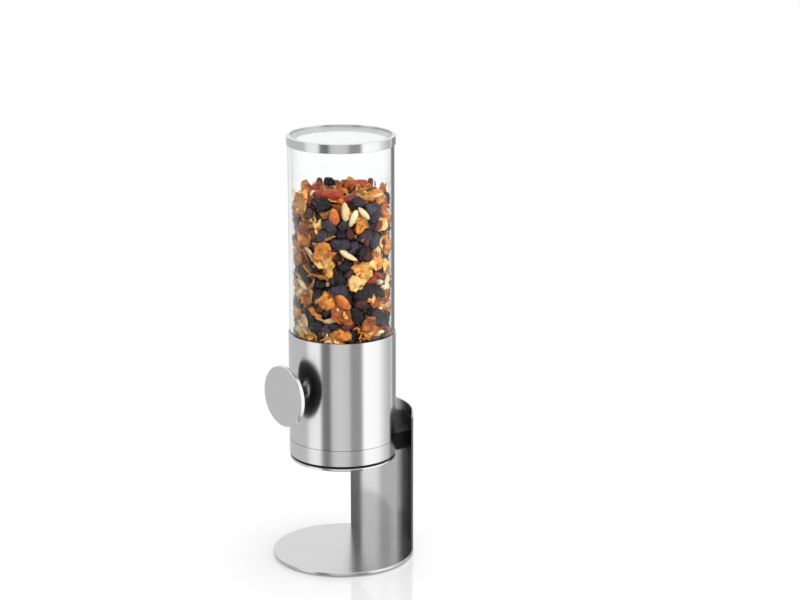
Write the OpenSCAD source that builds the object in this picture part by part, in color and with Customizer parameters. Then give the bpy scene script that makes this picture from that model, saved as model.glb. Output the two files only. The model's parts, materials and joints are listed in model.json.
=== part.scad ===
// Bulk food dispenser bin: a clear tube in a steel sleeve with a knob-driven
// paddle wheel, lifted onto a stand with a shelf ring and an open bowl space.
// Origin on the table under the centre of the round base. +Z up, the knob
// points to -Y and the curved column stands at +Y.

/* [Stand] */
// Radius of the round base plate
base_r = 73; // [71:0.5:76]
// Thickness of the base plate
base_t = 3; // [2:0.5:4]
// Thickness of the anti-slip pad under the base
pad_t = 1.5; // [1:0.5:2]
// Thickness of the curved column sheet
column_t = 1.5; // [1.2:0.1:2]
// Half of the angle that the column covers
column_half = 46; // [42:1:50]
// Corner radius at the column's top
column_corner = 10.5; // [8:0.5:14]
// Height of the column's top edge
column_top = 155.5; // [152:0.5:160]

/* [Shelf ring] */
// Height of the ledge that the canister rests on
ledge_z = 127.5; // [126:0.5:128]
// Outer radius of the steel band
band_r = 55; // [54.8:0.1:55.2]
// Height of the steel band
band_h = 16.4; // [15:0.2:17]
// Outer radius of the black collar
collar_r = 51.2; // [50.8:0.1:51.3]
// Height of the collar's rim
collar_top = 155.1; // [150:0.1:155.2]
// Radius of the outlet in the collar
outlet_r = 30; // [26:1:32]
// Half of the width of the block that joins ring and column
block_half = 35; // [30:1:38]

/* [Canister] */
// Outer radius of the steel sleeve
sleeve_r = 55; // [54.9:0.1:55.3]
// Wall of the steel sleeve
sleeve_t = 0.8; // [0.6:0.1:0.9]
// Height of the steel sleeve
sleeve_h = 112.5; // [110:0.5:116]
// Outer radius of the clear tube
tube_r = 53.8; // [53.4:0.1:54]
// Wall of the clear tube
tube_t = 3; // [2.5:0.1:3.2]
// Height of the top edge of the clear tube
tube_top = 439.4; // [380:0.2:460]

/* [Dosing wheel] */
// Height of the knob's axis
axis_z = 185.4; // [185:0.2:186]
// Inner radius of the drum
drum_r = 28; // [27:0.5:28.5]
// Number of paddles on the wheel
paddles = 6; // [5:1:8]
// Radius of the paddle tips
tip_r = 27.4; // [25:0.1:27.4]
// Radius of the knob's disc
knob_r = 31.5; // [28:0.5:34]
// Thickness of the knob's disc
knob_t = 5; // [4:0.5:6]
// Radius of the drive shaft
shaft_r = 3; // [2.5:0.5:3]

/* [Lid] */
// Height of the lid's steel ring
lid_h = 9.5; // [8:0.5:12]
// Outer radius of the lid's steel ring
lid_r = 55; // [54.8:0.1:55.3]

/* [Hidden] */
$fn = 96;

plate_top = pad_t + base_t;
column_in = base_r - column_t;
band_top = ledge_z + 1.5;
band_bottom = band_top - band_h;
trim_bottom = band_bottom - 5.4;
trim_top = trim_bottom + 2.4;
block_z0 = band_bottom - 0.3;
block_z1 = band_top + 1.7;
screw_z = (block_z0 + block_z1) / 2;
screw_a = 15;
collar_z = trim_top + 2.4;
boss_ring = 45.7;
sleeve_z = band_top + 0.4;
sleeve_top = sleeve_z + sleeve_h;
sleeve_in = sleeve_r - sleeve_t;
skirt_in = collar_r + 0.6;
skirt_out = sleeve_in - 0.6;
floor_z = collar_top + 1.9;
floor_t = 2.5;
drum_wall = 2.4;
drum_half = 28;
end_wall = 2.5;
drum_out = drum_r + drum_wall;
inlet_r = 20;
seat_z = sleeve_top - 5.9;
funnel_z = axis_z + drum_out + 0.1;
hub_r = 9;
hub_half = 26;
disc_back = -(sleeve_r + 16.5);
disc_front = disc_back - knob_t;
boss_len = 3.6;
neck_r = 5.5;
bush_r = 5.75;
bush_front = -(sleeve_r + 1.3);
shaft_back = 38.5;
rear_y = drum_half + end_wall;
lid_z = tube_top + 5.8 - lid_h;
lid_bore = tube_r + 0.3;

steel = [0.74, 0.74, 0.75];
black = [0.05, 0.05, 0.055];
clear = [0.85, 0.9, 0.92, 0.35];

// a tube round Z between two radii and two heights
module ring(ro, ri, z0, z1) {
    translate([0, 0, z0])
        rotate_extrude()
            translate([ri, 0]) square([ro - ri, z1 - z0]);
}

// a rod along Y at the knob's axis
module rod(r, y0, y1, z = axis_z) {
    translate([0, y0, z]) rotate([-90, 0, 0]) cylinder(r = r, h = y1 - y0);
}

// a tube along Y at the knob's axis
module pipe(ro, ri, y0, y1) {
    difference() {
        rod(ro, y0, y1);
        rod(ri, y0 - 1, y1 + 1);
    }
}

// ---- stand ----------------------------------------------------------

module anti_slip_pad() {
    color([0.12, 0.12, 0.12])
        rotate_extrude()
            polygon([[0, 0], [base_r - 5.6, 0], [base_r - 5, 0.6], [base_r - 5, pad_t], [0, pad_t]]);
}

module base_plate() {
    e = 0.4;
    color(steel)
        rotate_extrude()
            polygon([[0, pad_t], [base_r - e, pad_t], [base_r, pad_t + e],
                [base_r, plate_top - e], [base_r - e, plate_top], [0, plate_top]]);
}

// the flat outline of one top corner, cut away as seen from the side
module corner_cut(side) {
    a = column_half;
    rotate([0, 0, 90 + side * a])
        translate([base_r, 0, column_top - column_corner])
            rotate([90, 0, -90])
                translate([0, 0, -10])
                    linear_extrude(20)
                        difference() {
                            translate([side > 0 ? 0 : -column_corner, 0])
                                translate([side > 0 ? -2 : 0, 0])
                                    square([column_corner + 2, column_corner + 2]);
                            translate([side * column_corner, 0])
                                circle(r = column_corner);
                        }
}

// two radial places on the column, their +Z pointing outwards
module radial_pair(r) {
    for (s = [-1, 1])
        rotate([0, 0, s * screw_a]) translate([0, r, screw_z]) rotate([-90, 0, 0]) children();
}

module back_column() {
    color(steel)
        difference() {
            translate([0, 0, plate_top])
                rotate([0, 0, 90 - column_half])
                    rotate_extrude(angle = 2 * column_half)
                        translate([column_in, 0])
                            square([column_t, column_top - plate_top]);
            corner_cut(-1);
            corner_cut(1);
            radial_pair(column_in - 3) cylinder(r = 2.1, h = 10);
            radial_pair(column_in - 0.2) cylinder(r1 = 2.1, r2 = 4.1, h = 2);
        }
}

// black carrier: ledge, core of the ring and the block that meets the column
module ring_carrier() {
    wall_out = band_r - 1.05;
    color(black)
        difference() {
            union() {
                ring(wall_out, collar_r + 0.05, trim_top, ledge_z);
                // reaches in to the spout, so that the space under the funnel is shut
                ring(wall_out, outlet_r + 2.3, trim_top, collar_z);
                intersection() {
                    translate([-block_half, 0, block_z0])
                        cube([2 * block_half, base_r, block_z1 - block_z0]);
                    ring(column_in, band_r + 0.4, block_z0, block_z1);
                }
                // web behind the band that ties the block to the ring
                intersection() {
                    translate([-12, 0, block_z0 + 3])
                        cube([24, base_r, 9]);
                    ring(band_r + 1, wall_out - 1, block_z0, block_z1);
                }
            }
            for (a = [30, 150, 270])
                rotate([0, 0, a]) translate([boss_ring, 0, trim_top - 1])
                    cylinder(r = 1.7, h = 6);
            radial_pair(column_in - 9.5) cylinder(r = 2.2, h = 12);
            radial_pair(column_in - 8) cylinder(r = 3, h = 12);
        }
}

module shelf_band() {
    color(steel)
        difference() {
            ring(band_r, band_r - 1, band_bottom, band_top);
            translate([-12.05, 0, block_z0 + 2.95]) cube([24.1, base_r, 9.1]);
        }
}

module shelf_trim_ring() {
    color([0.86, 0.86, 0.87])
        rotate_extrude()
            polygon([[49.5, trim_bottom], [band_r - 1, trim_bottom],
                [band_r - 0.4, trim_bottom + 0.6], [band_r - 0.4, trim_top - 0.3],
                [band_r - 0.7, trim_top], [49.5, trim_top]]);
}

// glossy cup with a funnel floor and three bosses under it
module outlet_collar() {
    top = collar_top - 0.6;
    color([0.03, 0.03, 0.03])
        difference() {
            union() {
                rotate_extrude()
                    polygon([[boss_ring - 4.7, collar_z], [collar_r, collar_z], [collar_r, top],
                        [collar_r - 0.6, collar_top], [collar_r - 1.5, collar_top],
                        [collar_r - 2.1, top], [collar_r - 2.2, ledge_z + 13],
                        [outlet_r + 1.2, ledge_z - 2.5], [outlet_r, ledge_z - 4.5],
                        [outlet_r, trim_bottom], [outlet_r + 2, trim_bottom],
                        [outlet_r + 2, ledge_z - 5.2], [collar_r - 3.2, ledge_z + 9],
                        [collar_r - 3.2, collar_z + 2.4], [boss_ring - 4.7, collar_z + 2.4]]);
                for (a = [30, 150, 270])
                    rotate([0, 0, a]) translate([boss_ring, 0, collar_z]) cylinder(r = 3.2, h = 14);
            }
            for (a = [30, 150, 270])
                rotate([0, 0, a]) translate([boss_ring, 0, collar_z - 1]) cylinder(r = 1.2, h = 11);
        }
}

module collar_screws() {
    color([0.6, 0.6, 0.6])
        for (a = [30, 150, 270])
            rotate([0, 0, a]) translate([boss_ring, 0, 0]) {
                difference() {
                    translate([0, 0, trim_top - 1.8]) cylinder(r = 2.7, h = 1.8);
                    translate([-1.6, -0.3, trim_top - 1.9]) cube([3.2, 0.6, 0.8]);
                    translate([-0.3, -1.6, trim_top - 1.9]) cube([0.6, 3.2, 0.8]);
                }
                translate([0, 0, trim_top]) cylinder(r = 1.2, h = 11);
            }
}

module column_screws() {
    color([0.6, 0.6, 0.6])
        radial_pair(column_in - 0.2)
            difference() {
                union() {
                    cylinder(r1 = 2, r2 = 3.6, h = 1.6);
                    translate([0, 0, -7.6]) cylinder(r = 2, h = 7.61);
                }
                translate([0, 0, 0.5]) cylinder(r = 1.4, h = 3, $fn = 6);
            }
}

module thread_inserts() {
    color([0.78, 0.62, 0.28])
        radial_pair(column_in - 8)
            difference() {
                union() {
                    cylinder(r = 3, h = 2.6);
                    translate([0, 0, 2.6]) cylinder(r = 2.7, h = 1);
                    translate([0, 0, 3.6]) cylinder(r = 3, h = 2.6);
                }
                translate([0, 0, -1]) cylinder(r = 2, h = 9);
            }
}

// ---- canister -------------------------------------------------------

module sleeve() {
    color(steel)
        difference() {
            ring(sleeve_r, sleeve_in, sleeve_z, sleeve_top);
            rod(bush_r + 0.1, -sleeve_r - 5, -sleeve_r + 12);
        }
}

// three towers where the two halves of the housing are screwed together
module towers(r, z0, z1) {
    for (a = [0, 90, 180, 270])
        rotate([0, 0, a + 45]) translate([46.3, 0, z0]) cylinder(r = r, h = z1 - z0);
}

module dosing_housing() {
    color([0.1, 0.1, 0.1])
        difference() {
            union() {
                // skirt with a foot that rests on the ledge
                ring(skirt_out, skirt_in, ledge_z, floor_z + floor_t);
                ring(sleeve_in, skirt_in + 0.4, floor_z + floor_t - 8, floor_z + floor_t);
                translate([0, 0, floor_z]) cylinder(r = skirt_out, h = floor_t);
                // lower half of the drum
                intersection() {
                    rod(drum_out, -rear_y, rear_y);
                    translate([-40, -40, floor_z]) cube([80, 80, axis_z - floor_z]);
                }
                // saddle for the front bush
                translate([-9, -44, floor_z + 0.5]) cube([18, 14, axis_z - floor_z - 0.5]);
                towers(4.2, floor_z + 0.5, axis_z);
            }
            rod(drum_r, -drum_half, drum_half);
            rod(bush_r, -60, 0);
            rod(6, 0, rear_y + 1);
            // outlet slot under the wheel
            translate([-15, -drum_half, floor_z - 1]) cube([30, 2 * drum_half, 14]);
            towers(1.25, axis_z - 14, axis_z + 1);
        }
}

// upper half of the drum, funnel and seat for the tube, one moulding
module hopper() {
    rc = skirt_out - 1.6;
    color([0.13, 0.13, 0.13])
        difference() {
            union() {
                intersection() {
                    rod(drum_out, -rear_y, rear_y);
                    translate([-40, -40, axis_z]) cube([80, 80, 60]);
                }
                translate([-9, -44, axis_z]) cube([18, 14, 10]);
                rotate_extrude()
                    polygon([[inlet_r, axis_z + 16], [inlet_r + 3, axis_z + 16],
                        [inlet_r + 3, funnel_z - 0.6], [rc - 2.3, seat_z - 6],
                        [rc - 2.3, seat_z - 2.4], [sleeve_in, seat_z - 2.4],
                        [sleeve_in, seat_z], [50.3, seat_z], [50.3, seat_z + 5.4],
                        [49.2, seat_z + 5.4], [49.2, seat_z - 3.4], [inlet_r, funnel_z]]);
                // rim that closes the drum towards the towers
                translate([0, 0, axis_z]) linear_extrude(3)
                    difference() {
                        union() {
                            for (a = [0, 90, 180, 270]) rotate([0, 0, a + 45]) {
                                translate([46.3, 0]) circle(r = 4.2);
                                translate([26, -3.5]) square([20.3, 7]);
                            }
                        }
                        square([2 * drum_r + 2, 2 * drum_half + 2], center = true);
                    }
            }
            rod(drum_r, -drum_half, drum_half);
            rod(bush_r, -60, 0);
            rod(6, 0, rear_y + 1);
            translate([0, 0, axis_z]) cylinder(r = inlet_r, h = 40);
            towers(1.7, axis_z - 1, axis_z + 4);
        }
}

module housing_screws() {
    color([0.6, 0.6, 0.6])
        for (a = [0, 90, 180, 270])
            rotate([0, 0, a + 45]) translate([46.3, 0, 0])
                difference() {
                    union() {
                        translate([0, 0, axis_z + 3]) cylinder(r = 2.8, h = 2);
                        translate([0, 0, axis_z - 12]) cylinder(r = 1.25, h = 15.01);
                    }
                    translate([-1.6, -0.3, axis_z + 4.1]) cube([3.2, 0.6, 1]);
                    translate([-0.3, -1.6, axis_z + 4.1]) cube([0.6, 3.2, 1]);
                }
}

module clear_tube() {
    e = 0.5;
    color(clear)
        rotate_extrude()
            polygon([[tube_r - tube_t, seat_z], [tube_r, seat_z], [tube_r, tube_top - e],
                [tube_r - e, tube_top], [tube_r - tube_t + e, tube_top], [tube_r - tube_t, tube_top - e]]);
}

module tube_gasket() {
    color([0.75, 0.75, 0.75])
        ring(tube_r - tube_t, 50.3, seat_z + 1, seat_z + 4);
}

// black bush: a thin flange that fits the curve of the sleeve, and a long shank
module front_bush() {
    color(black)
        difference() {
            union() {
                difference() {
                    rod(bush_r + 0.8, bush_front, -sleeve_r + 1);
                    translate([0, 0, axis_z - 10]) cylinder(r = sleeve_r, h = 20);
                }
                rod(bush_r, bush_front + 0.3, -drum_half);
            }
            rod(shaft_r + 0.06, bush_front - 1, 0);
        }
}

module rear_bearing() {
    color([0.85, 0.85, 0.83])
        difference() {
            union() {
                rod(6, drum_half, rear_y);
                rod(8, rear_y, rear_y + 2.2);
            }
            rod(shaft_r + 0.06, 0, 60);
        }
}

// ---- rotor ----------------------------------------------------------

module knob_disc() {
    e = 0.6;
    color(steel)
        translate([0, disc_front, axis_z]) rotate([-90, 0, 0])
            rotate_extrude()
                polygon([[0, 0], [knob_r - e, 0], [knob_r, e], [knob_r, knob_t - e],
                    [knob_r - e, knob_t], [0, knob_t]]);
}

module knob_boss() {
    color([0.68, 0.68, 0.69])
        difference() {
            translate([0, disc_back, axis_z]) rotate([-90, 0, 0])
                rotate_extrude()
                    polygon([[shaft_r, 0], [8, 0], [8, boss_len - 0.6],
                        [7.4, boss_len], [neck_r, boss_len],
                        [neck_r, bush_front - disc_back - 0.7],
                        [neck_r - 0.4, bush_front - disc_back - 0.3],
                        [shaft_r, bush_front - disc_back - 0.3]]);
            translate([0, disc_back + boss_len / 2, axis_z + shaft_r - 0.5])
                cylinder(r = 1.25, h = 8);
        }
}

module grub_screw() {
    color([0.3, 0.3, 0.3])
        translate([0, disc_back + boss_len / 2, axis_z + shaft_r])
            difference() {
                cylinder(r = 1.25, h = 4.2);
                translate([0, 0, 2.6]) cylinder(r = 0.7, h = 3, $fn = 6);
            }
}

module drive_shaft() {
    color([0.8, 0.8, 0.8])
        difference() {
            rod(shaft_r, disc_back, shaft_back);
            // groove for the retaining clip
            pipe(shaft_r + 1, shaft_r - 0.6, rear_y + 2.6, rear_y + 3.5);
        }
}

module rotor_hub() {
    color([0.9, 0.9, 0.88])
        difference() {
            rod(hub_r, -hub_half, hub_half);
            rod(shaft_r, -hub_half - 1, hub_half + 1);
            for (i = [0:paddles - 1])
                translate([0, -hub_half - 1, axis_z]) rotate([0, (i + 0.5) * 360 / paddles, 0])
                    translate([hub_r - 2.5, 0, -0.9]) cube([4, 2 * hub_half + 2, 1.8]);
        }
}

// flexible paddles, each with a root held in a slot of the hub
module rotor_vanes() {
    color([0.88, 0.88, 0.86])
        for (i = [0:paddles - 1])
            translate([0, -hub_half, axis_z]) rotate([0, (i + 0.5) * 360 / paddles, 0]) {
                translate([hub_r - 2.5, 0, -0.9]) cube([tip_r - hub_r - 1, 2 * hub_half, 1.8]);
                translate([tip_r - 3.6, 0, -0.55]) cube([3.6, 2 * hub_half, 1.1]);
            }
}

module thrust_washers() {
    color([0.95, 0.95, 0.93]) {
        pipe(7, shaft_r, -hub_half - 1.4, -hub_half);
        pipe(7, shaft_r, hub_half, hub_half + 1.4);
    }
}

module retaining_clip() {
    color([0.25, 0.25, 0.26])
        difference() {
            pipe(5.6, shaft_r - 0.6, rear_y + 2.65, rear_y + 3.45);
            translate([-1.6, rear_y + 2, axis_z]) cube([3.2, 2, 8]);
        }
}

// ---- lid ------------------------------------------------------------

// the ring reaches down over the tube, so that the plug hides behind it
module lid_ring() {
    z1 = lid_z + lid_h;
    color(steel)
        rotate_extrude()
            polygon([[lid_bore, lid_z], [lid_r - 0.3, lid_z], [lid_r, lid_z + 0.3],
                [lid_r, z1 - 0.5], [lid_r - 0.5, z1],
                [lid_r - 3.2, z1], [lid_r - 3.2, z1 - 1.2],
                [lid_r - 1.2, z1 - 1.2], [lid_r - 1.2, tube_top + 0.6],
                [lid_bore, tube_top + 0.6]]);
}

module lid_window() {
    color(clear)
        translate([0, 0, tube_top + 0.6]) cylinder(r = lid_r - 1.2, h = 4);
}

// clear ring under the window that drops into the tube
module lid_plug() {
    color(clear)
        rotate_extrude()
            polygon([[46.5, tube_top - 3.5], [49.4, tube_top - 3.5], [49.8, tube_top - 3.1],
                [49.8, tube_top - 2.7], [48.6, tube_top - 2.7], [48.6, tube_top - 0.5],
                [49.8, tube_top - 0.5], [49.8, tube_top], [52.6, tube_top],
                [52.6, tube_top + 0.6], [46.5, tube_top + 0.6]]);
}

module lid_gasket() {
    color([0.9, 0.9, 0.9])
        ring(50.4, 48.6, tube_top - 2.6, tube_top - 0.6);
}

anti_slip_pad();
base_plate();
back_column();
ring_carrier();
shelf_band();
shelf_trim_ring();
outlet_collar();
collar_screws();
column_screws();
thread_inserts();
sleeve();
dosing_housing();
hopper();
housing_screws();
clear_tube();
tube_gasket();
front_bush();
rear_bearing();
knob_disc();
knob_boss();
grub_screw();
drive_shaft();
rotor_hub();
rotor_vanes();
thrust_washers();
retaining_clip();
lid_ring();
lid_window();
lid_plug();
lid_gasket();
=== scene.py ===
import json
import math

import bmesh
import bpy
import numpy as np
from mathutils import Matrix, Vector

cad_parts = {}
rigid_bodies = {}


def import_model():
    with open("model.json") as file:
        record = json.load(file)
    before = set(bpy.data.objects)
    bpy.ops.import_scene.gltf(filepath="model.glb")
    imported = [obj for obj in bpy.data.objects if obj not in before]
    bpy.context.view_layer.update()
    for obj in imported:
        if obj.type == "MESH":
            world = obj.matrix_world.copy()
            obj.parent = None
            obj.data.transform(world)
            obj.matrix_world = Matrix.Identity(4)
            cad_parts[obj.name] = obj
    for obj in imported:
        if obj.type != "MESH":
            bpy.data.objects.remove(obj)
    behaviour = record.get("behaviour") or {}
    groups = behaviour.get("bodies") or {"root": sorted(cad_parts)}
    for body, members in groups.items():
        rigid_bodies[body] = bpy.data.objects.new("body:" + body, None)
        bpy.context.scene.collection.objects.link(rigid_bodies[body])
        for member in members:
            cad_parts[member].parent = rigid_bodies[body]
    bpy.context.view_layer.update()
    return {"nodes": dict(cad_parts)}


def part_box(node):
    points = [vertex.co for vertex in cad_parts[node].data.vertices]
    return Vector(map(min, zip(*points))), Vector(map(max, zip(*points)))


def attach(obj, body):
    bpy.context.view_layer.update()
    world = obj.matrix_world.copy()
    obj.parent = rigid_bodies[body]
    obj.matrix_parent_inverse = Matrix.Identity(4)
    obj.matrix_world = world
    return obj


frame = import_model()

nodes = frame["nodes"]
scene = bpy.context.scene
MM = 0.001

# ---------------------------------------------------------------- numbers
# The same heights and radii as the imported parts, read from the frame.
PLATE_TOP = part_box("base_plate")[1].z
SLEEVE_LO, SLEEVE_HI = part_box("sleeve")
TUBE_LO, TUBE_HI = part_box("clear_tube")
COLLAR_LO, COLLAR_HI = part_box("outlet_collar")
KNOB_LO, KNOB_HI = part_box("knob_disc")
AXIS_Z = (KNOB_LO.z + KNOB_HI.z) / 2
TUBE_IN = TUBE_HI.x - 3.0 * MM

# ---------------------------------------------------------------- camera
AZ, EL = math.radians(51.0), math.radians(14.9)
FOCAL_PX = 2300.0
DEPTH = 1.05 * MM * FOCAL_PX
AIM_PX = (343.6, 547.5)  # where the middle of the plate's top stands in the frame
right = Vector((math.cos(AZ), math.sin(AZ), 0))
forward = Vector((-math.sin(AZ) * math.cos(EL), math.cos(AZ) * math.cos(EL), -math.sin(EL)))
up = right.cross(forward)
cam_data = bpy.data.cameras.new("camera")
cam_data.sensor_width = 36.0
cam_data.lens = FOCAL_PX / 800 * 36.0
cam_data.clip_end = 20
cam = bpy.data.objects.new("camera", cam_data)
scene.collection.objects.link(cam)
toward = forward + right * ((AIM_PX[0] - 400) / FOCAL_PX) - up * ((AIM_PX[1] - 300) / FOCAL_PX)
cam.location = Vector((0, 0, PLATE_TOP)) - toward * DEPTH
cam.matrix_world = Matrix.Translation(cam.location) @ Matrix((right, up, -forward)).transposed().to_4x4()
scene.camera = cam

# ---------------------------------------------------------------- node helpers


def new_mat(name):
    m = bpy.data.materials.new(name)
    m.use_nodes = True
    nt = m.node_tree
    nt.nodes.clear()
    out = nt.nodes.new("ShaderNodeOutputMaterial")
    p = nt.nodes.new("ShaderNodeBsdfPrincipled")
    nt.links.new(p.outputs[0], out.inputs["Surface"])
    return m, nt, p


def coords(nt, scale=(1, 1, 1), space="Object"):
    t = nt.nodes.new("ShaderNodeTexCoord")
    mp = nt.nodes.new("ShaderNodeMapping")
    mp.inputs["Scale"].default_value = scale
    nt.links.new(t.outputs[space], mp.inputs["Vector"])
    return mp.outputs["Vector"]


def noise(nt, vec, scale, detail=4.0, rough=0.55, distort=0.0):
    n = nt.nodes.new("ShaderNodeTexNoise")
    n.inputs["Scale"].default_value = scale
    n.inputs["Detail"].default_value = detail
    n.inputs["Roughness"].default_value = rough
    n.inputs["Distortion"].default_value = distort
    nt.links.new(vec, n.inputs["Vector"])
    return n.outputs["Fac"]


def to_range(nt, value, a, b, c, d):
    r = nt.nodes.new("ShaderNodeMapRange")
    for k, v in zip(("From Min", "From Max", "To Min", "To Max"), (a, b, c, d)):
        r.inputs[k].default_value = v
    nt.links.new(value, r.inputs["Value"])
    return r.outputs["Result"]


def ramp(nt, value, stops):
    r = nt.nodes.new("ShaderNodeValToRGB")
    e = r.color_ramp.elements
    while len(e) < len(stops):
        e.new(0.5)
    for el, (pos, col) in zip(e, stops):
        el.position = pos
        el.color = (*col, 1.0)
    nt.links.new(value, r.inputs["Fac"])
    return r.outputs["Color"]


def bump(nt, height, strength, distance, p, normal=None):
    b = nt.nodes.new("ShaderNodeBump")
    b.inputs["Strength"].default_value = strength
    b.inputs["Distance"].default_value = distance
    nt.links.new(height, b.inputs["Height"])
    if normal is not None:
        nt.links.new(normal, b.inputs["Normal"])
    if p is not None:
        nt.links.new(b.outputs["Normal"], p.inputs["Normal"])
    return b.outputs["Normal"]


def grey(v):
    return (v, v, v * 1.006)


# ---------------------------------------------------------------- materials


def brushed(name, streak, base=(0.7, 0.78), rough=(0.16, 0.26), aniso=0.75, rotation=0.25, axis="Z", fine=0.00002, turn=0.0):
    """Brushed stainless steel. streak is how densely the brush lines lie along X, Y and Z; turn leans the sheen round Z."""
    m, nt, p = new_mat(name)
    p.inputs["Metallic"].default_value = 1.0
    lines = noise(nt, coords(nt, streak), 1.0, 3.0, 0.6)
    cloud = noise(nt, coords(nt), 22.0, 3.0, 0.5)
    nt.links.new(ramp(nt, lines, [(0.25, grey(base[0])), (0.75, grey(base[1]))]), p.inputs["Base Color"])
    add = nt.nodes.new("ShaderNodeMath")
    add.operation = "MULTIPLY_ADD"
    nt.links.new(cloud, add.inputs[0])
    add.inputs[1].default_value = 0.35
    nt.links.new(lines, add.inputs[2])
    nt.links.new(to_range(nt, add.outputs[0], 0.35, 1.0, rough[0], rough[1]), p.inputs["Roughness"])
    p.inputs["Anisotropic"].default_value = aniso
    p.inputs["Anisotropic Rotation"].default_value = rotation
    if axis:
        t = nt.nodes.new("ShaderNodeTangent")
        t.direction_type = "RADIAL"
        t.axis = axis
        nt.links.new(t.outputs[0], p.inputs["Tangent"])
    leaning = None
    if turn:
        g = nt.nodes.new("ShaderNodeNewGeometry")
        r = nt.nodes.new("ShaderNodeVectorRotate")
        r.rotation_type = "Z_AXIS"
        r.inputs["Angle"].default_value = math.radians(turn)
        nt.links.new(g.outputs["Normal"], r.inputs["Vector"])
        leaning = r.outputs[0]
    bump(nt, lines, 0.35, fine, p, leaning)
    return m


def polished(name, base=0.8, rough=0.07):
    m, nt, p = new_mat(name)
    p.inputs["Metallic"].default_value = 1.0
    n = noise(nt, coords(nt), 160.0, 4.0)
    nt.links.new(ramp(nt, n, [(0.3, grey(base - 0.05)), (0.7, grey(base + 0.04))]), p.inputs["Base Color"])
    nt.links.new(to_range(nt, n, 0.3, 0.8, rough * 0.7, rough * 1.7), p.inputs["Roughness"])
    bump(nt, n, 0.1, 0.00002, p)
    return m


def plastic(name, lo, hi, rough, scale=900.0, depth=0.00003, strength=0.25, specular=0.5):
    m, nt, p = new_mat(name)
    n = noise(nt, coords(nt), scale, 3.0)
    cloud = noise(nt, coords(nt), 30.0, 3.0)
    nt.links.new(ramp(nt, cloud, [(0.3, lo), (0.7, hi)]), p.inputs["Base Color"])
    nt.links.new(to_range(nt, cloud, 0.3, 0.75, rough * 0.85, rough * 1.2), p.inputs["Roughness"])
    p.inputs["Specular IOR Level"].default_value = specular
    bump(nt, n, strength, depth, p)
    return m


def acrylic(name, tint=(0.975, 0.985, 0.985), shine=0.1, cut=False):
    """Clear acrylic that lets lamps through, so that the food behind it is lit. cut: its level end faces are sawn and frosty."""
    m, nt, p = new_mat(name)
    n = noise(nt, coords(nt), 60.0, 4.0)
    # painted shade: the tint darkens towards the edges, where the view grazes the wall, to draw the tube's dark edge
    # lines
    edge = nt.nodes.new("ShaderNodeLayerWeight")
    edge.inputs["Blend"].default_value = 0.5
    grazing_painted_shade = ramp(nt, edge.outputs["Facing"], [(0.7, (1, 1, 1)), (0.84, (0.86, 0.87, 0.88)), (0.93, (0.6, 0.62, 0.64)), (1.0, (0.42, 0.44, 0.46))])
    mul = nt.nodes.new("ShaderNodeMix")
    mul.data_type = "RGBA"
    mul.blend_type = "MULTIPLY"
    mul.inputs["Factor"].default_value = 1.0
    nt.links.new(ramp(nt, n, [(0.3, tint), (0.7, (0.995, 0.995, 0.995))]), mul.inputs["A"])
    nt.links.new(grazing_painted_shade, mul.inputs["B"])
    nt.links.new(mul.outputs["Result"], p.inputs["Base Color"])
    p.inputs["Transmission Weight"].default_value = 1.0
    p.inputs["IOR"].default_value = 1.49
    p.inputs["Specular Tint"].default_value = (shine, shine, shine, 1)
    nt.links.new(to_range(nt, n, 0.45, 0.8, 0.0, 0.012), p.inputs["Roughness"])
    clear = nt.nodes.new("ShaderNodeBsdfTransparent")
    clear.inputs["Color"].default_value = (0.8, 0.81, 0.81, 1)
    path = nt.nodes.new("ShaderNodeLightPath")
    either = nt.nodes.new("ShaderNodeMath")
    either.operation = "MAXIMUM"
    nt.links.new(path.outputs["Is Shadow Ray"], either.inputs[0])
    nt.links.new(path.outputs["Is Diffuse Ray"], either.inputs[1])
    mix = nt.nodes.new("ShaderNodeMixShader")
    nt.links.new(either.outputs[0], mix.inputs["Fac"])
    body = p.outputs[0]
    if cut:
        g = nt.nodes.new("ShaderNodeNewGeometry")
        level = nt.nodes.new("ShaderNodeSeparateXYZ")
        nt.links.new(g.outputs["Normal"], level.inputs[0])
        steep = nt.nodes.new("ShaderNodeMath")
        steep.operation = "ABSOLUTE"
        nt.links.new(level.outputs["Z"], steep.inputs[0])
        frost = nt.nodes.new("ShaderNodeBsdfPrincipled")
        frost.inputs["Roughness"].default_value = 0.5
        nt.links.new(ramp(nt, noise(nt, coords(nt), 900.0), [(0.3, (0.78, 0.79, 0.8)), (0.7, (0.92, 0.93, 0.93))]), frost.inputs["Base Color"])
        sawn = nt.nodes.new("ShaderNodeMixShader")
        nt.links.new(to_range(nt, steep.outputs[0], 0.7, 0.9, 0.0, 0.8), sawn.inputs["Fac"])
        nt.links.new(p.outputs[0], sawn.inputs[1])
        nt.links.new(frost.outputs[0], sawn.inputs[2])
        body = sawn.outputs[0]
    nt.links.new(body, mix.inputs[1])
    nt.links.new(clear.outputs[0], mix.inputs[2])
    out = next(x for x in nt.nodes if x.type == "OUTPUT_MATERIAL")
    nt.links.new(mix.outputs[0], out.inputs["Surface"])
    return m


def silicone(name, lo=(0.62, 0.62, 0.6), hi=(0.8, 0.8, 0.78)):
    m, nt, p = new_mat(name)
    n = noise(nt, coords(nt), 120.0, 3.0)
    nt.links.new(ramp(nt, n, [(0.3, lo), (0.7, hi)]), p.inputs["Base Color"])
    nt.links.new(to_range(nt, n, 0.3, 0.8, 0.38, 0.55), p.inputs["Roughness"])
    p.inputs["Transmission Weight"].default_value = 0.15
    p.inputs["Subsurface Weight"].default_value = 0.25
    p.inputs["Subsurface Radius"].default_value = (0.004, 0.004, 0.004)
    bump(nt, n, 0.15, 0.00003, p)
    return m


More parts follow.
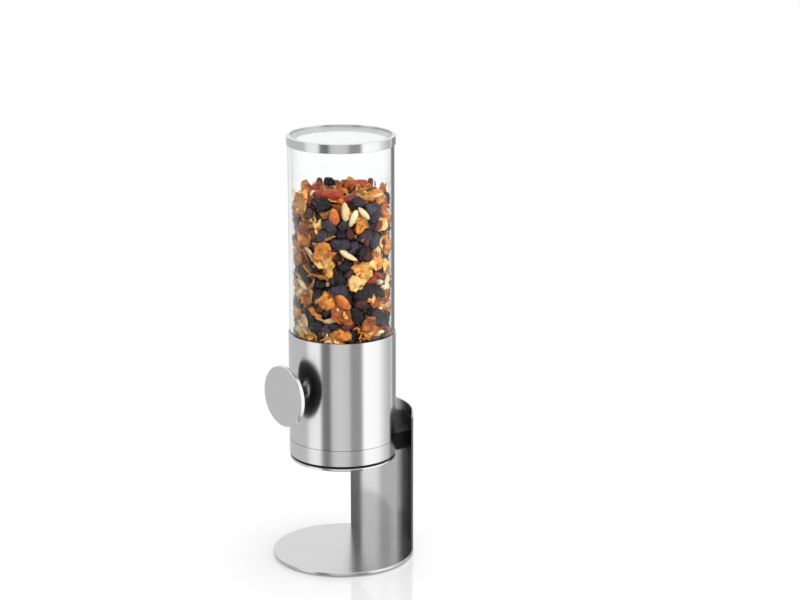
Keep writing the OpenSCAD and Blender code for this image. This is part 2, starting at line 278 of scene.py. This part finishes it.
mats = {
    "sleeve": brushed("steel_sleeve", (9, 9, 2600), (0.72, 0.79), (0.15, 0.25), 0.8),
    "band": brushed("steel_band", (9, 9, 2600), (0.73, 0.77), (0.22, 0.28), 0.6, fine=0.00001),
    "column": brushed("steel_column", (9, 9, 2200), (0.61, 0.71), (0.1, 0.16), 0.75, turn=-7.7),
    "plate": brushed("steel_plate", (1200, 10, 10), (0.62, 0.68), (0.19, 0.26), 0.0, 0.0, None, 0.00001),
    "knob": brushed("steel_knob", (10, 10, 1500), (0.74, 0.8), (0.17, 0.24), 0.0, 0.0, None, 0.00001),
    "polished": polished("steel_polished"),
    "screw": polished("steel_screw", 0.55, 0.28),
    "black": plastic("plastic_black", (0.003, 0.003, 0.0033), (0.006, 0.006, 0.0065), 0.42, specular=0.22),
    "gloss": plastic("plastic_gloss_black", (0.002, 0.002, 0.0023), (0.004, 0.004, 0.0044), 0.1, 300.0, 0.00001, 0.05, 0.33),
    "white": plastic("plastic_white", (0.72, 0.72, 0.7), (0.82, 0.82, 0.8), 0.4),
    "foam": plastic("rubber_foam", (0.012, 0.012, 0.012), (0.03, 0.03, 0.03), 0.8, 1400.0, 0.0001, 0.5, 0.3),
    "clear": acrylic("acrylic_clear"),
    "tube": acrylic("acrylic_tube", cut=True),
    "silicone": silicone("silicone_clear"),
}
# the back face of the knob's disc is coloured near-black and made rougher, which darkens its reflection in the sleeve
nt = mats["knob"].node_tree
p = next(x for x in nt.nodes if x.type == "BSDF_PRINCIPLED")
where = nt.nodes.new("ShaderNodeSeparateXYZ")
nt.links.new(coords(nt), where.inputs[0])
back = to_range(nt, where.outputs["Y"], KNOB_HI.y - 0.0004, KNOB_HI.y - 0.0002, 0.0, 1.0)
for sock, dark in (("Base Color", (0.03, 0.03, 0.031, 1)), ("Roughness", 0.45)):
    source = p.inputs[sock].links[0].from_socket
    mx = nt.nodes.new("ShaderNodeMix")
    mx.data_type = "RGBA" if sock == "Base Color" else "FLOAT"
    i, j, k = (6, 7, 2) if sock == "Base Color" else (2, 3, 0)
    nt.links.new(back, mx.inputs[0])
    nt.links.new(source, mx.inputs[i])
    mx.inputs[j].default_value = dark
    nt.links.new(mx.outputs[k], p.inputs[sock])

m, nt, p = new_mat("brass_turned")
p.inputs["Metallic"].default_value = 1.0
n = noise(nt, coords(nt, (60, 60, 3000)), 1.0, 3.0)
nt.links.new(ramp(nt, n, [(0.3, (0.6, 0.42, 0.16)), (0.7, (0.74, 0.54, 0.22))]), p.inputs["Base Color"])
nt.links.new(to_range(nt, n, 0.3, 0.8, 0.22, 0.38), p.inputs["Roughness"])
mats["brass"] = m

worn = {
    "anti_slip_pad": "foam", "base_plate": "plate", "back_column": "column", "ring_carrier": "black",
    "shelf_band": "band", "shelf_trim_ring": "polished", "outlet_collar": "gloss",
    "collar_screws": "screw", "column_screws": "screw", "thread_inserts": "brass", "sleeve": "sleeve",
    "dosing_housing": "black", "hopper": "black", "housing_screws": "screw", "clear_tube": "tube",
    "tube_gasket": "silicone", "front_bush": "black", "rear_bearing": "white", "knob_disc": "knob",
    "knob_boss": "polished", "grub_screw": "screw", "drive_shaft": "polished", "rotor_hub": "white",
    "rotor_vanes": "silicone", "thrust_washers": "white", "retaining_clip": "screw", "lid_ring": "sleeve",
    "lid_window": "clear", "lid_plug": "tube", "lid_gasket": "silicone",
}
for name, o in nodes.items():
    o.data.materials.clear()
    o.data.materials.append(mats[worn.get(name, "black")])

# ---------------------------------------------------------------- food fill


def mesh_object(name, verts, faces, mat, body, attrs=None):
    me = bpy.data.meshes.new(name)
    me.from_pydata([tuple(v) for v in verts], [], [tuple(int(i) for i in f) for f in faces])
    me.update()
    me.polygons.foreach_set("use_smooth", [True] * len(me.polygons))
    for key, values in (attrs or {}).items():
        a = me.attributes.new(key, "FLOAT", "POINT")
        a.data.foreach_set("value", np.asarray(values, np.float32))
    o = bpy.data.objects.new(name, me)
    scene.collection.objects.link(o)
    me.materials.append(mat)
    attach(o, body)
    return o


def ico(sub):
    bm = bmesh.new()
    bmesh.ops.create_icosphere(bm, subdivisions=sub, radius=1.0)
    v = np.array([list(x.co) for x in bm.verts])
    f = [tuple(x.index for x in fc.verts) for fc in bm.faces]
    bm.free()
    return v, f


def waves(rng, v, freq, count):
    """A smooth random field on points: a sum of sines in random directions."""
    out = np.zeros(len(v))
    for _ in range(count):
        d = rng.normal(size=3)
        d /= np.linalg.norm(d)
        out += np.sin(v @ d * freq * rng.uniform(0.7, 1.4) + rng.uniform(0, 6.28))
    return out / math.sqrt(count)


ICO1, ICO2, ICO3 = ico(1), ico(2), ico(3)


def flake(rng, rings=5, n=22):
    """A toasted flake: a curled, blistered sheet with a torn rim, closed underneath."""
    a = np.linspace(0, 2 * math.pi, n, endpoint=False)
    rim = 1 + 0.13 * np.sin(2 * a + rng.uniform(0, 6)) + 0.13 * np.sin(3 * a + rng.uniform(0, 6)) + 0.09 * np.sin(5 * a + rng.uniform(0, 6)) + 0.07 * rng.normal(size=n)
    squeeze = rng.uniform(0.62, 0.9)
    pts = [(0.0, 0.0)]
    for k in range(1, rings + 1):
        r = (k / rings) ** 0.85
        for i in range(n):
            rr = r * (1 + (rim[i] - 1) * r * r)
            pts.append((rr * math.cos(a[i]), rr * math.sin(a[i]) * squeeze))
    x, y = np.array(pts).T
    c1, c2, c3 = rng.uniform(0.35, 1.2), rng.uniform(-0.2, 0.35), rng.uniform(-0.3, 0.3)
    p3 = np.column_stack([x, y, 0 * x])
    z = 0.07 * waves(rng, p3, 4.5, 5) + 0.07 * waves(rng, p3, 10, 6) + 0.04 * waves(rng, p3, 17, 6) + c2 * y * y + c3 * x * y
    # curl round the Y axis, up to nearly a half turn
    bend = 1.3 * c1
    X = np.sin(x * bend) / bend
    Z = (1 - np.cos(x * bend)) / bend + z * np.cos(x * bend)
    X = X - z * np.sin(x * bend)
    th = 0.04 * (1 + 0.5 * waves(rng, p3, 8, 4))
    th[-n:] *= 0.4
    top = np.column_stack([X, y, Z + th])
    bot = np.column_stack([X, y, Z - th])
    m0 = len(X)
    faces = []
    for i in range(n):
        j = (i + 1) % n
        faces.append((0, 1 + i, 1 + j))
        faces.append((m0, m0 + 1 + j, m0 + 1 + i))
    for k in range(rings - 1):
        for i in range(n):
            j = (i + 1) % n
            q = (1 + k * n + i, 1 + (k + 1) * n + i, 1 + (k + 1) * n + j, 1 + k * n + j)
            faces.append(q)
            faces.append(tuple(m0 + t for t in reversed(q)))
    b = 1 + (rings - 1) * n
    for i in range(n):
        j = (i + 1) % n
        faces.append((b + i, m0 + b + i, m0 + b + j, b + j))
    v = np.vstack([top, bot])
    return v - v.mean(0), faces, np.tile(np.hypot(x, y), 2)


def blob(rng, ico, sx, sy, sz, freq, amp, fold=0.0):
    v, f = ico
    d = 1 + amp * waves(rng, v, freq, 6)
    if fold:
        d = d - fold * np.abs(waves(rng, v, freq * 0.8, 4)) - 0.5 * fold * np.abs(waves(rng, v, freq * 1.7, 4))
    return v * d[:, None] * np.array([sx, sy, sz]), f, d


def nut(rng):
    v, f = ICO2
    w = v.copy()
    taper = 1 - rng.uniform(0.1, 0.45) * (w[:, 0] * 0.5 + 0.5)
    w[:, 1] *= rng.uniform(0.34, 0.5) * taper
    w[:, 2] *= rng.uniform(0.22, 0.34) * taper
    w[:, 2] += rng.uniform(0.0, 0.2) * w[:, 0] ** 2
    w *= (1 + 0.03 * waves(rng, v, 7, 5))[:, None]
    return w, f, np.zeros(len(w))


def raisin(rng):
    return blob(rng, ICO3 if rng.random() < 0.45 else ICO2, 1, rng.uniform(0.62, 0.85), rng.uniform(0.42, 0.6), 5.5, 0.09, 0.2)


# kind: share of the pieces, half length in mm, maker
KINDS = {
    "flakes": (0.40, (8.5, 14.0), flake),
    "raisins": (0.31, (8.5, 14.0), raisin),
    "berries": (0.1, (6.0, 9.0), lambda r: blob(r, ICO2, 1, r.uniform(0.65, 0.9), r.uniform(0.45, 0.65), 6.5, 0.07, 0.12)),
    "nuts": (0.08, (8.5, 12.5), nut),
    "oats": (0.09, (5.0, 7.5), lambda r: blob(r, ICO2, 1, r.uniform(0.6, 0.85), 0.15, 4.0, 0.08, 0.05)),
    "fruit": (0.05, (9.0, 13.0), lambda r: blob(r, ICO3, 1, r.uniform(0.5, 0.75), r.uniform(0.3, 0.48), 3.2, 0.1, 0.09)),
}


def balls(kind, s):
    """The balls, in mm, that keep a piece of half length s clear of its neighbours."""
    if kind == "flakes":
        p = [(0, 0)] + [(0.72 * math.cos(a), 0.56 * math.sin(a)) for a in np.arange(8) * math.pi / 4]
        q, r = [(x * s, y * s, 0.5 * x * x * s) for x, y in p], [2.9] * 9
    elif kind in ("raisins", "berries"):
        q, r = [(-0.45 * s, 0, 0), (0.45 * s, 0, 0)], [0.58 * s] * 2
    elif kind == "nuts":
        q, r = [(t * s, 0, 0) for t in (-0.6, 0, 0.55)], [0.35 * s, 0.42 * s, 0.35 * s]
    elif kind == "oats":
        q, r = [(0.45 * s * math.cos(a), 0.4 * s * math.sin(a), 0) for a in np.arange(4) * math.pi / 2], [2.1] * 4
    else:
        q, r = [(-0.5 * s, 0, 0), (0, 0, 0), (0.5 * s, 0, 0)], [0.42 * s, 0.5 * s, 0.42 * s]
    q = np.array(q, float)
    return q - q.mean(0), np.array(r)


def random_turns(rng, count):
    h = rng.normal(size=(count, 4))
    w, x, y, z = (h / np.linalg.norm(h, axis=1)[:, None]).T
    rows = [[1 - 2 * (y * y + z * z), 2 * (x * y - z * w), 2 * (x * z + y * w)],
            [2 * (x * y + z * w), 1 - 2 * (x * x + z * z), 2 * (y * z - x * w)],
            [2 * (x * z - y * w), 2 * (y * z + x * w), 1 - 2 * (x * x + y * y)]]
    return np.stack([np.stack(r, -1) for r in rows], 1)


def settle(seed, count, wall, core_r, core_top, floor_z, top, steps):
    """Strews rigid pieces between the core and the wall, then pushes them apart. All in mm."""
    rng = np.random.default_rng(seed)
    names = list(KINDS)
    share = np.array([KINDS[k][0] for k in names])
    kinds, sizes, Q, rad0, own = [], [], [], [], []
    for i in range(count):
        k = names[rng.choice(len(names), p=share / share.sum())]
        s = rng.uniform(*KINDS[k][1])
        q, r = balls(k, s)
        kinds.append(k)
        sizes.append(s)
        Q.append(q)
        rad0.append(r)
        own.append(np.full(len(q), i))
    Q, rad0, own = np.vstack(Q), np.concatenate(rad0), np.concatenate(own)
    cnt = np.bincount(own, minlength=count)[:, None].astype(float)
    shell = int(count * 0.84)
    z = np.concatenate([rng.uniform(floor_z + 4, top - 4, shell), rng.uniform(core_top, top - 2, count - shell)])
    a = rng.uniform(0, 2 * math.pi, count)
    rr = np.sqrt(np.concatenate([rng.uniform((core_r + 6) ** 2, (wall - 4) ** 2, shell), rng.uniform(0, (wall - 8) ** 2, count - shell)]))
    R = random_turns(rng, count)
    # most pieces near the wall lie with a broad side to it
    for i in np.nonzero((rr > 36) & (rng.random(count) < 0.6))[0]:
        flat = Vector((math.cos(a[i]), math.sin(a[i]), 0)) + Vector(rng.normal(scale=0.35, size=3))
        turn = (flat if rng.random() < 0.5 else -flat).to_track_quat("Z", "Y").to_matrix() @ Matrix.Rotation(rng.uniform(0, 6.283), 3, "Z")
        R[i] = np.array(turn)
    P = np.column_stack([rr * np.cos(a), rr * np.sin(a), z])[own] + np.einsum("nij,nj->ni", R[own], Q)
    n = len(P)
    for it in range(steps):
        P[:, 2] -= 0.2
        if it % 4 == 0:
            g = np.floor(P / 17.0).astype(np.int64) + 64
            key = (g[:, 0] * 512 + g[:, 1]) * 512 + g[:, 2]
            order = np.argsort(key, kind="stable")
            sk = key[order]
            I, J = [], []
            for dx in (-1, 0, 1):
                for dy in (-1, 0, 1):
                    k0 = key + (dx * 512 + dy) * 512
                    lo, hi = np.searchsorted(sk, k0 - 1, "left"), np.searchsorted(sk, k0 + 1, "right")
                    m = hi - lo
                    i = np.repeat(np.arange(n), m)
                    j = order[np.repeat(lo, m) + np.arange(m.sum()) - np.repeat(np.cumsum(m) - m, m)]
                    ok = (i < j) & (own[i] != own[j])
                    I.append(i[ok])
                    J.append(j[ok])
            I, J = np.concatenate(I), np.concatenate(J)
            d = P[I] - P[J]
            near = (d * d).sum(1) < (rad0[I] + rad0[J] + 3.0) ** 2
            I, J = I[near], J[near]
            reach = rad0[I] + rad0[J]
        d = P[I] - P[J]
        far = np.sqrt((d * d).sum(1)) + 1e-6
        pen = np.maximum(reach - far, 0)
        push = d * (0.5 * pen / far)[:, None]
        hit = (pen > 0).astype(float)
        met = np.bincount(I, hit, n) + np.bincount(J, hit, n)
        D = np.column_stack([np.bincount(I, push[:, c], n) - np.bincount(J, push[:, c], n) for c in range(3)])
        P = P + D / np.sqrt(np.maximum(met, 1))[:, None]
        r = np.hypot(P[:, 0], P[:, 1]) + 1e-6
        f = np.where(r > wall - rad0, (wall - rad0) / r, 1.0)
        inside = (r < core_r + rad0) & (P[:, 2] < core_top)
        f = np.where(inside & (P[:, 2] < core_top - 4), (core_r + rad0) / r, f)
        P[:, :2] *= f[:, None]
        P[inside & (P[:, 2] >= core_top - 4), 2] = core_top
        P[:, 2] = np.maximum(P[:, 2], floor_z + rad0)
        cen = np.column_stack([np.bincount(own, P[:, c], count) for c in range(3)]) / cnt
        dp = P - cen[own]
        A = np.stack([np.stack([np.bincount(own, dp[:, p_] * Q[:, q_], count) for q_ in range(3)], -1) for p_ in range(3)], 1) + 0.01 * R
        U, _, Vt = np.linalg.svd(A)
        U[:, :, 2] *= np.linalg.det(U @ Vt)[:, None]
        R = U @ Vt
        P = cen[own] + np.einsum("nij,nj->ni", R[own], Q)
    return kinds, sizes, cen, R


FLOOR_MM, TOP_MM, CORE_R, CORE_TOP = 237.0, 394.0, 29.0, 372.0
rng = np.random.default_rng(515)
groups = {k: ([], [], [], [], [0]) for k in list(KINDS) + ["crumbs"]}


def lay(kind, v, f, edge, tone):
    # nothing pokes through the tube's wall
    lim = np.where(v[:, 2] < 242.2, 48.9, 50.55)
    rad = np.hypot(v[:, 0], v[:, 1])
    k = np.where(rad > lim, lim / np.maximum(rad, 1e-9), 1.0)
    v[:, 0] *= k
    v[:, 1] *= k
    vs, fs, tones, edges, base = groups[kind]
    vs.append(v * MM)
    fs.extend(tuple(base[0] + i for i in face) for face in f)
    tones.append(np.full(len(v), tone))
    edges.append(edge)
    base[0] += len(v)


for kind, s, c, R in zip(*settle(17, 690, 50.5, CORE_R, CORE_TOP, FLOOR_MM, TOP_MM, 80)):
    v, f, edge = KINDS[kind][2](rng)
    if c[2] > 388.5:
        continue
    lay(kind, (v * s) @ R.T + c, f, edge, rng.random())

# large dried fruit on top: angle to the right of the camera, distance from the axis, height, half length
for angle, r, z, s, tone in ((-24, 29, 389.0, 17.5, 0.5), (24, 31, 386.5, 15.0, 0.25), (62, 34, 386.0, 12.0, 0.85), (150, 26, 388.0, 15.0, 0.5), (-110, 30, 387.0, 14.0, 0.3)):
    a = math.radians(angle - 39)
    v, f, edge = blob(rng, ICO3, 1, rng.uniform(0.5, 0.62), rng.uniform(0.36, 0.46), 3.8, 0.13, 0.15)
    R = np.array(Matrix.Rotation(a + math.pi / 2 + rng.uniform(-0.4, 0.4), 3, "Z") @ Matrix.Rotation(rng.uniform(-0.3, 0.3), 3, "Y"))
    lay("fruit", (v * s) @ R.T + np.array([r * math.cos(a), r * math.sin(a), z]), f, edge, tone)

# small broken bits fill the gaps near the wall
for R in random_turns(rng, 420):
    v, f = ICO1
    v = v * (1 + 0.25 * waves(rng, v, 3, 4))[:, None] * np.array([1, rng.uniform(0.4, 0.8), rng.uniform(0.15, 0.4)]) * rng.uniform(1.6, 3.6)
    a, r = rng.uniform(0, 2 * math.pi), rng.uniform(40.0, 48.5)
    lay("crumbs", v @ R.T + np.array([r * math.cos(a), r * math.sin(a), rng.uniform(FLOOR_MM + 3, 383.0)]), f, np.zeros(len(v)), rng.random())


def food_mat(name, stops, rough, speck=None, bump_depth=0.0004, bump_scale=260.0, sss=0.1, radius=(0.003, 0.0015, 0.0008), specular=0.5, ridged=False, edge=None, sheen=0.0):
    m, nt, p = new_mat(name)
    a = nt.nodes.new("ShaderNodeAttribute")
    a.attribute_name = "tone"
    n = noise(nt, coords(nt), 190.0, 4.0, 0.65)
    sub = nt.nodes.new("ShaderNodeMath")
    sub.operation = "MULTIPLY_ADD"
    nt.links.new(a.outputs["Fac"], sub.inputs[0])
    sub.inputs[1].default_value = 0.8
    sub.inputs[2].default_value = -0.28
    mix = nt.nodes.new("ShaderNodeMath")
    mix.operation = "MULTIPLY_ADD"
    nt.links.new(n, mix.inputs[0])
    mix.inputs[1].default_value = 0.8
    nt.links.new(sub.outputs[0], mix.inputs[2])
    col = ramp(nt, mix.outputs[0], stops)

    def over(col, fac, tint):
        mx = nt.nodes.new("ShaderNodeMix")
        mx.data_type = "RGBA"
        nt.links.new(fac, mx.inputs["Factor"])
        nt.links.new(col, mx.inputs["A"])
        mx.inputs["B"].default_value = (*tint, 1)
        return mx.outputs["Result"]

    if speck:
        dots = noise(nt, coords(nt), speck[1], 3.0, 0.7)
        col = over(col, ramp(nt, dots, [(speck[2], (0, 0, 0)), (speck[3], (1, 1, 1))]), speck[0])
    if edge:
        e = nt.nodes.new("ShaderNodeAttribute")
        e.attribute_name = "edge"
        ragged = nt.nodes.new("ShaderNodeMath")
        ragged.operation = "MULTIPLY_ADD"
        nt.links.new(n, ragged.inputs[0])
        ragged.inputs[1].default_value = 0.7
        nt.links.new(e.outputs["Fac"], ragged.inputs[2])
        col = over(col, to_range(nt, ragged.outputs[0], edge[1], edge[2], 0.0, edge[3]), edge[0])
    nt.links.new(col, p.inputs["Base Color"])
    nt.links.new(to_range(nt, n, 0.3, 0.8, rough * 0.75, rough * 1.25), p.inputs["Roughness"])
    p.inputs["Subsurface Weight"].default_value = sss
    p.inputs["Subsurface Radius"].default_value = radius
    p.inputs["Specular IOR Level"].default_value = specular
    p.inputs["Sheen Weight"].default_value = sheen
    h = noise(nt, coords(nt), bump_scale, 4.0, 0.6)
    if ridged:
        t = h.node
        t.noise_type = "RIDGED_MULTIFRACTAL"
        t.inputs["Detail"].default_value = 2.0
        t.inputs["Distortion"].default_value = 0.6
    bump(nt, h, 0.8, bump_depth, p)
    return m


food = {
    "flakes": food_mat("food_flakes", [(0.12, (0.25, 0.054, 0.007)), (0.34, (0.59, 0.18, 0.02)), (0.54, (0.81, 0.355, 0.066)), (0.85, (0.94, 0.6, 0.23))], 0.42,
                       ((0.24, 0.06, 0.01), 170.0, 0.52, 0.66), 0.0016, 380.0, 0.1, edge=((0.4, 0.12, 0.015), 1.1, 1.5, 0.7)),
    "raisins": food_mat("food_raisins", [(0.1, (0.003, 0.0011, 0.0011)), (0.38, (0.006, 0.0028, 0.0034)), (0.58, (0.0135, 0.0085, 0.013)), (0.88, (0.046, 0.034, 0.05))], 0.28, None, 0.0026, 250.0, 0.0, ridged=True, specular=0.34),
    "berries": food_mat("food_berries", [(0.1, (0.02, 0.003, 0.003)), (0.5, (0.065, 0.006, 0.006)), (0.9, (0.17, 0.016, 0.012))], 0.28, None, 0.0013, 320.0, 0.05, ridged=True, specular=0.5),
    "nuts": food_mat("food_nuts", [(0.1, (0.54, 0.36, 0.17)), (0.5, (0.72, 0.55, 0.31)), (0.9, (0.85, 0.72, 0.47))], 0.4, ((0.36, 0.18, 0.06), 150.0, 0.58, 0.74), 0.0003, 200.0),
    "oats": food_mat("food_oats", [(0.1, (0.32, 0.17, 0.07)), (0.5, (0.5, 0.32, 0.15)), (0.9, (0.66, 0.48, 0.28))], 0.6, ((0.4, 0.2, 0.08), 240.0, 0.52, 0.68), 0.0005, 520.0),
    "fruit": food_mat("food_fruit", [(0.1, (0.12, 0.012, 0.007)), (0.45, (0.3, 0.035, 0.014)), (0.7, (0.46, 0.08, 0.02)), (0.95, (0.66, 0.22, 0.03))], 0.3, None, 0.0012, 200.0, 0.2, (0.006, 0.002, 0.001)),
    "crumbs": food_mat("food_crumbs", [(0.1, (0.05, 0.014, 0.004)), (0.45, (0.22, 0.06, 0.011)), (0.7, (0.42, 0.17, 0.035)), (0.95, (0.6, 0.4, 0.19))], 0.5, None, 0.0003, 500.0),
}
for kind, (vs, fs, tones, edges, base) in groups.items():
    if vs:
        mesh_object("food_" + kind, np.vstack(vs), fs, food[kind], "canister", {"tone": np.concatenate(tones), "edge": np.concatenate(edges)})

# a lumpy core stands in for the pieces that nobody sees; its near-black colour is painted shade, the shade deep in the
# gaps between the pieces
ring_n, rows = 48, 22
core_v, core_f = [], []
for k in range(rows + 1):
    z = FLOOR_MM + 2 + (CORE_TOP - 4 - FLOOR_MM) * k / rows
    for i in range(ring_n):
        a = 2 * math.pi * i / ring_n
        r = (CORE_R + 1.5 + 1.8 * math.sin(5 * a + 0.9 * k) + 1.4 * math.sin(9 * a - 1.7 * k)) * (1 if k < rows else 0.8)
        core_v.append((r * math.cos(a) * MM, r * math.sin(a) * MM, z * MM))
for k in range(rows):
    for i in range(ring_n):
        j = (i + 1) % ring_n
        core_f.append((k * ring_n + i, k * ring_n + j, (k + 1) * ring_n + j, (k + 1) * ring_n + i))
core_f.append(tuple(range(ring_n - 1, -1, -1)))
core_f.append(tuple(rows * ring_n + i for i in range(ring_n)))
# painted shade: the core's near-black colour
core_mat = food_mat("food_core_painted_shade", [(0.2, (0.006, 0.003, 0.002)), (0.5, (0.025, 0.009, 0.004)), (0.8, (0.09, 0.03, 0.008))], 0.8, None, 0.0014, 240.0, 0.0)
mesh_object("food_core", core_v, core_f, core_mat, "canister", {"tone": [0.4] * len(core_v), "edge": [0.0] * len(core_v)})

# ---------------------------------------------------------------- studio
bpy.ops.mesh.primitive_circle_add(vertices=128, radius=6.0, fill_type="NGON", location=(0, 0, -0.0002))
floor = bpy.context.object
floor.name = "floor"
m, nt, p = new_mat("studio_floor")
nt.links.new(ramp(nt, noise(nt, coords(nt), 3.0), [(0.3, (0.965, 0.965, 0.965)), (0.7, (0.975, 0.975, 0.975))]), p.inputs["Base Color"])
p.inputs["Roughness"].default_value = 0.04
# away from the object the floor melts into the white backdrop
away = nt.nodes.new("ShaderNodeVectorRotate")
away.rotation_type = "Z_AXIS"
away.inputs["Angle"].default_value = math.radians(39.0)
nt.links.new(coords(nt), away.inputs["Vector"])
oval = nt.nodes.new("ShaderNodeMapping")
oval.inputs["Location"].default_value = (-0.32, 0.0, 0.0)
oval.inputs["Scale"].default_value = (2.9, 5.5, 0.0)
nt.links.new(away.outputs[0], oval.inputs["Vector"])
span = nt.nodes.new("ShaderNodeVectorMath")
span.operation = "LENGTH"
nt.links.new(oval.outputs[0], span.inputs[0])
white = nt.nodes.new("ShaderNodeEmission")
white.inputs["Color"].default_value = (1.02, 1.02, 1.02, 1)
melt = nt.nodes.new("ShaderNodeMixShader")
nt.links.new(to_range(nt, span.outputs["Value"], 0.45, 1.0, 0.0, 1.0), melt.inputs["Fac"])
nt.links.new(p.outputs[0], melt.inputs[1])
nt.links.new(white.outputs[0], melt.inputs[2])
nt.links.new(melt.outputs[0], next(x for x in nt.nodes if x.type == "OUTPUT_MATERIAL").inputs["Surface"])
floor.data.materials.append(m)
floor.visible_glossy = False
floor.visible_transmission = False

world = bpy.data.worlds.new("studio")
scene.world = world
world.use_nodes = True
nt = world.node_tree
nt.nodes.clear()
out = nt.nodes.new("ShaderNodeOutputWorld")
geo = nt.nodes.new("ShaderNodeTexCoord")
sep = nt.nodes.new("ShaderNodeSeparateXYZ")
# turned so that angle 0 is the camera's side and positive angles are on its right
rot = nt.nodes.new("ShaderNodeVectorRotate")
rot.rotation_type = "Z_AXIS"
rot.inputs["Angle"].default_value = math.radians(39.0)
nt.links.new(geo.outputs["Generated"], rot.inputs["Vector"])
nt.links.new(rot.outputs[0], sep.inputs[0])
at = nt.nodes.new("ShaderNodeMath")
at.operation = "ARCTAN2"
nt.links.new(sep.outputs["Y"], at.inputs[0])
nt.links.new(sep.outputs["X"], at.inputs[1])
turned = to_range(nt, at.outputs[0], -math.pi, math.pi, 0.0, 1.0)


def bands(stops):
    return ramp(nt, turned, [((a + 180.0) / 360.0, (v, v, v)) for a, v in stops])


def blend(fac, a, b):
    mx = nt.nodes.new("ShaderNodeMix")
    mx.data_type = "RGBA"
    nt.links.new(fac, mx.inputs["Factor"])
    for sock, v in (("A", a), ("B", b)):
        if isinstance(v, (int, float)):
            mx.inputs[sock].default_value = (v, v, v, 1)
        else:
            nt.links.new(v, mx.inputs[sock])
    return mx.outputs["Result"]


def math_node(op, a, b):
    n = nt.nodes.new("ShaderNodeMath")
    n.operation = op
    for sock, v in zip(n.inputs, (a, b)):
        if isinstance(v, (int, float)):
            sock.default_value = v
        else:
            nt.links.new(v, sock)
    return n.outputs[0]


Z = sep.outputs["Z"]
high = to_range(nt, Z, 0.5, 0.85, 0.0, 1.0)
low = to_range(nt, Z, -0.4, -0.6, 0.0, 1.0)
# what steel and gloss reflect: dark cards between two tall softboxes
steel_sees = bands([(-180, 0.75), (-150, 0.62), (-110, 0.62), (-84, 0.62), (-72, 1.05), (-49, 1.1), (-42, 0.22), (-27, 0.19), (-20, 0.7), (-5, 0.76), (15, 0.68),
                    (21, 0.36), (42, 0.34), (49, 1.32), (84, 1.25), (105, 0.8), (128, 0.5), (132, 1.05), (138, 0.32), (160, 0.32), (174, 0.5), (180, 0.7)])
behind = math_node("MULTIPLY", to_range(nt, Z, 0.02, 0.16, 0.0, 1.0), to_range(nt, sep.outputs["X"], -0.1, -0.5, 0.0, 1.0))
steel_sees = blend(behind, steel_sees, 1.0)
steel_sees = blend(high, steel_sees, 1.1)
# what is seen through the clear tube: white all round
tube_sees = bands([(-180, 1.02), (-150, 1.02), (-100, 0.97), (-40, 0.95), (40, 0.95), (60, 1.2), (80, 1.2), (100, 0.97), (150, 1.0), (180, 1.02)])
tube_sees = blend(math_node("MAXIMUM", high, low), tube_sees, 1.02)
# light that turns round inside the wall comes out past a dark card on the right, which draws the tube's edge
rim_sees = bands([(-180, 0.95), (-100, 0.95), (100, 0.95), (118, 0.5), (132, 0.17), (174, 0.17), (180, 0.6)])
# what lights matt things: a soft gradient from the upper right
dot = nt.nodes.new("ShaderNodeVectorMath")
dot.operation = "DOT_PRODUCT"
nt.links.new(rot.outputs[0], dot.inputs[0])
dot.inputs[1].default_value = Vector((0.45, 0.6, 0.66)).normalized()
soft = nt.nodes.new("ShaderNodeMath")
soft.operation = "MULTIPLY_ADD"
nt.links.new(dot.outputs["Value"], soft.inputs[0])
soft.inputs[1].default_value = 0.62
soft.inputs[2].default_value = 0.84
lp = nt.nodes.new("ShaderNodeLightPath")
colour = blend(lp.outputs["Is Glossy Ray"], soft.outputs[0], steel_sees)
tube_sees = blend(math_node("GREATER_THAN", lp.outputs["Glossy Depth"], 0.5), tube_sees, rim_sees)
colour = blend(lp.outputs["Is Transmission Ray"], colour, tube_sees)
colour = blend(lp.outputs["Is Camera Ray"], colour, 1.02)
bg = nt.nodes.new("ShaderNodeBackground")
nt.links.new(colour, bg.inputs["Color"])
nt.links.new(bg.outputs[0], out.inputs["Surface"])


def softbox(name, angle, height, dist, size, power):
    """angle is degrees to the right of the camera, as the object sees it."""
    a = math.radians(-39.0 + angle)
    d = bpy.data.lights.new(name, "AREA")
    d.shape = "RECTANGLE"
    d.size, d.size_y = size
    d.energy = power
    o = bpy.data.objects.new(name, d)
    o.location = (dist * math.cos(a), dist * math.sin(a), height)
    o.rotation_euler = (Vector((0, 0, 0.25)) - o.location).to_track_quat("-Z", "Y").to_euler()
    o.visible_glossy = False
    o.visible_transmission = False
    scene.collection.objects.link(o)
    return o


key = softbox("key", 38, 1.1, 1.2, (0.3, 0.3), 30)
fill = softbox("back_fill", 200, 1.1, 1.4, (0.5, 0.5), 16)
lit = bpy.data.collections.new("lit_by_key")
for o in scene.objects:
    if o.name.startswith("food_") or worn.get(o.name) in ("black", "white", "foam"):
        lit.objects.link(o)
key.light_linking.receiver_collection = lit
fill.light_linking.receiver_collection = lit

scene.view_settings.view_transform = "Standard"
scene.view_settings.look = "None"
scene.view_settings.exposure = 0.0
scene.cycles.max_bounces = 14
scene.cycles.transmission_bounces = 12
scene.cycles.transparent_max_bounces = 16
scene.cycles.glossy_bounces = 6
scene.cycles.diffuse_bounces = 4
scene.cycles.sample_clamp_indirect = 6.0

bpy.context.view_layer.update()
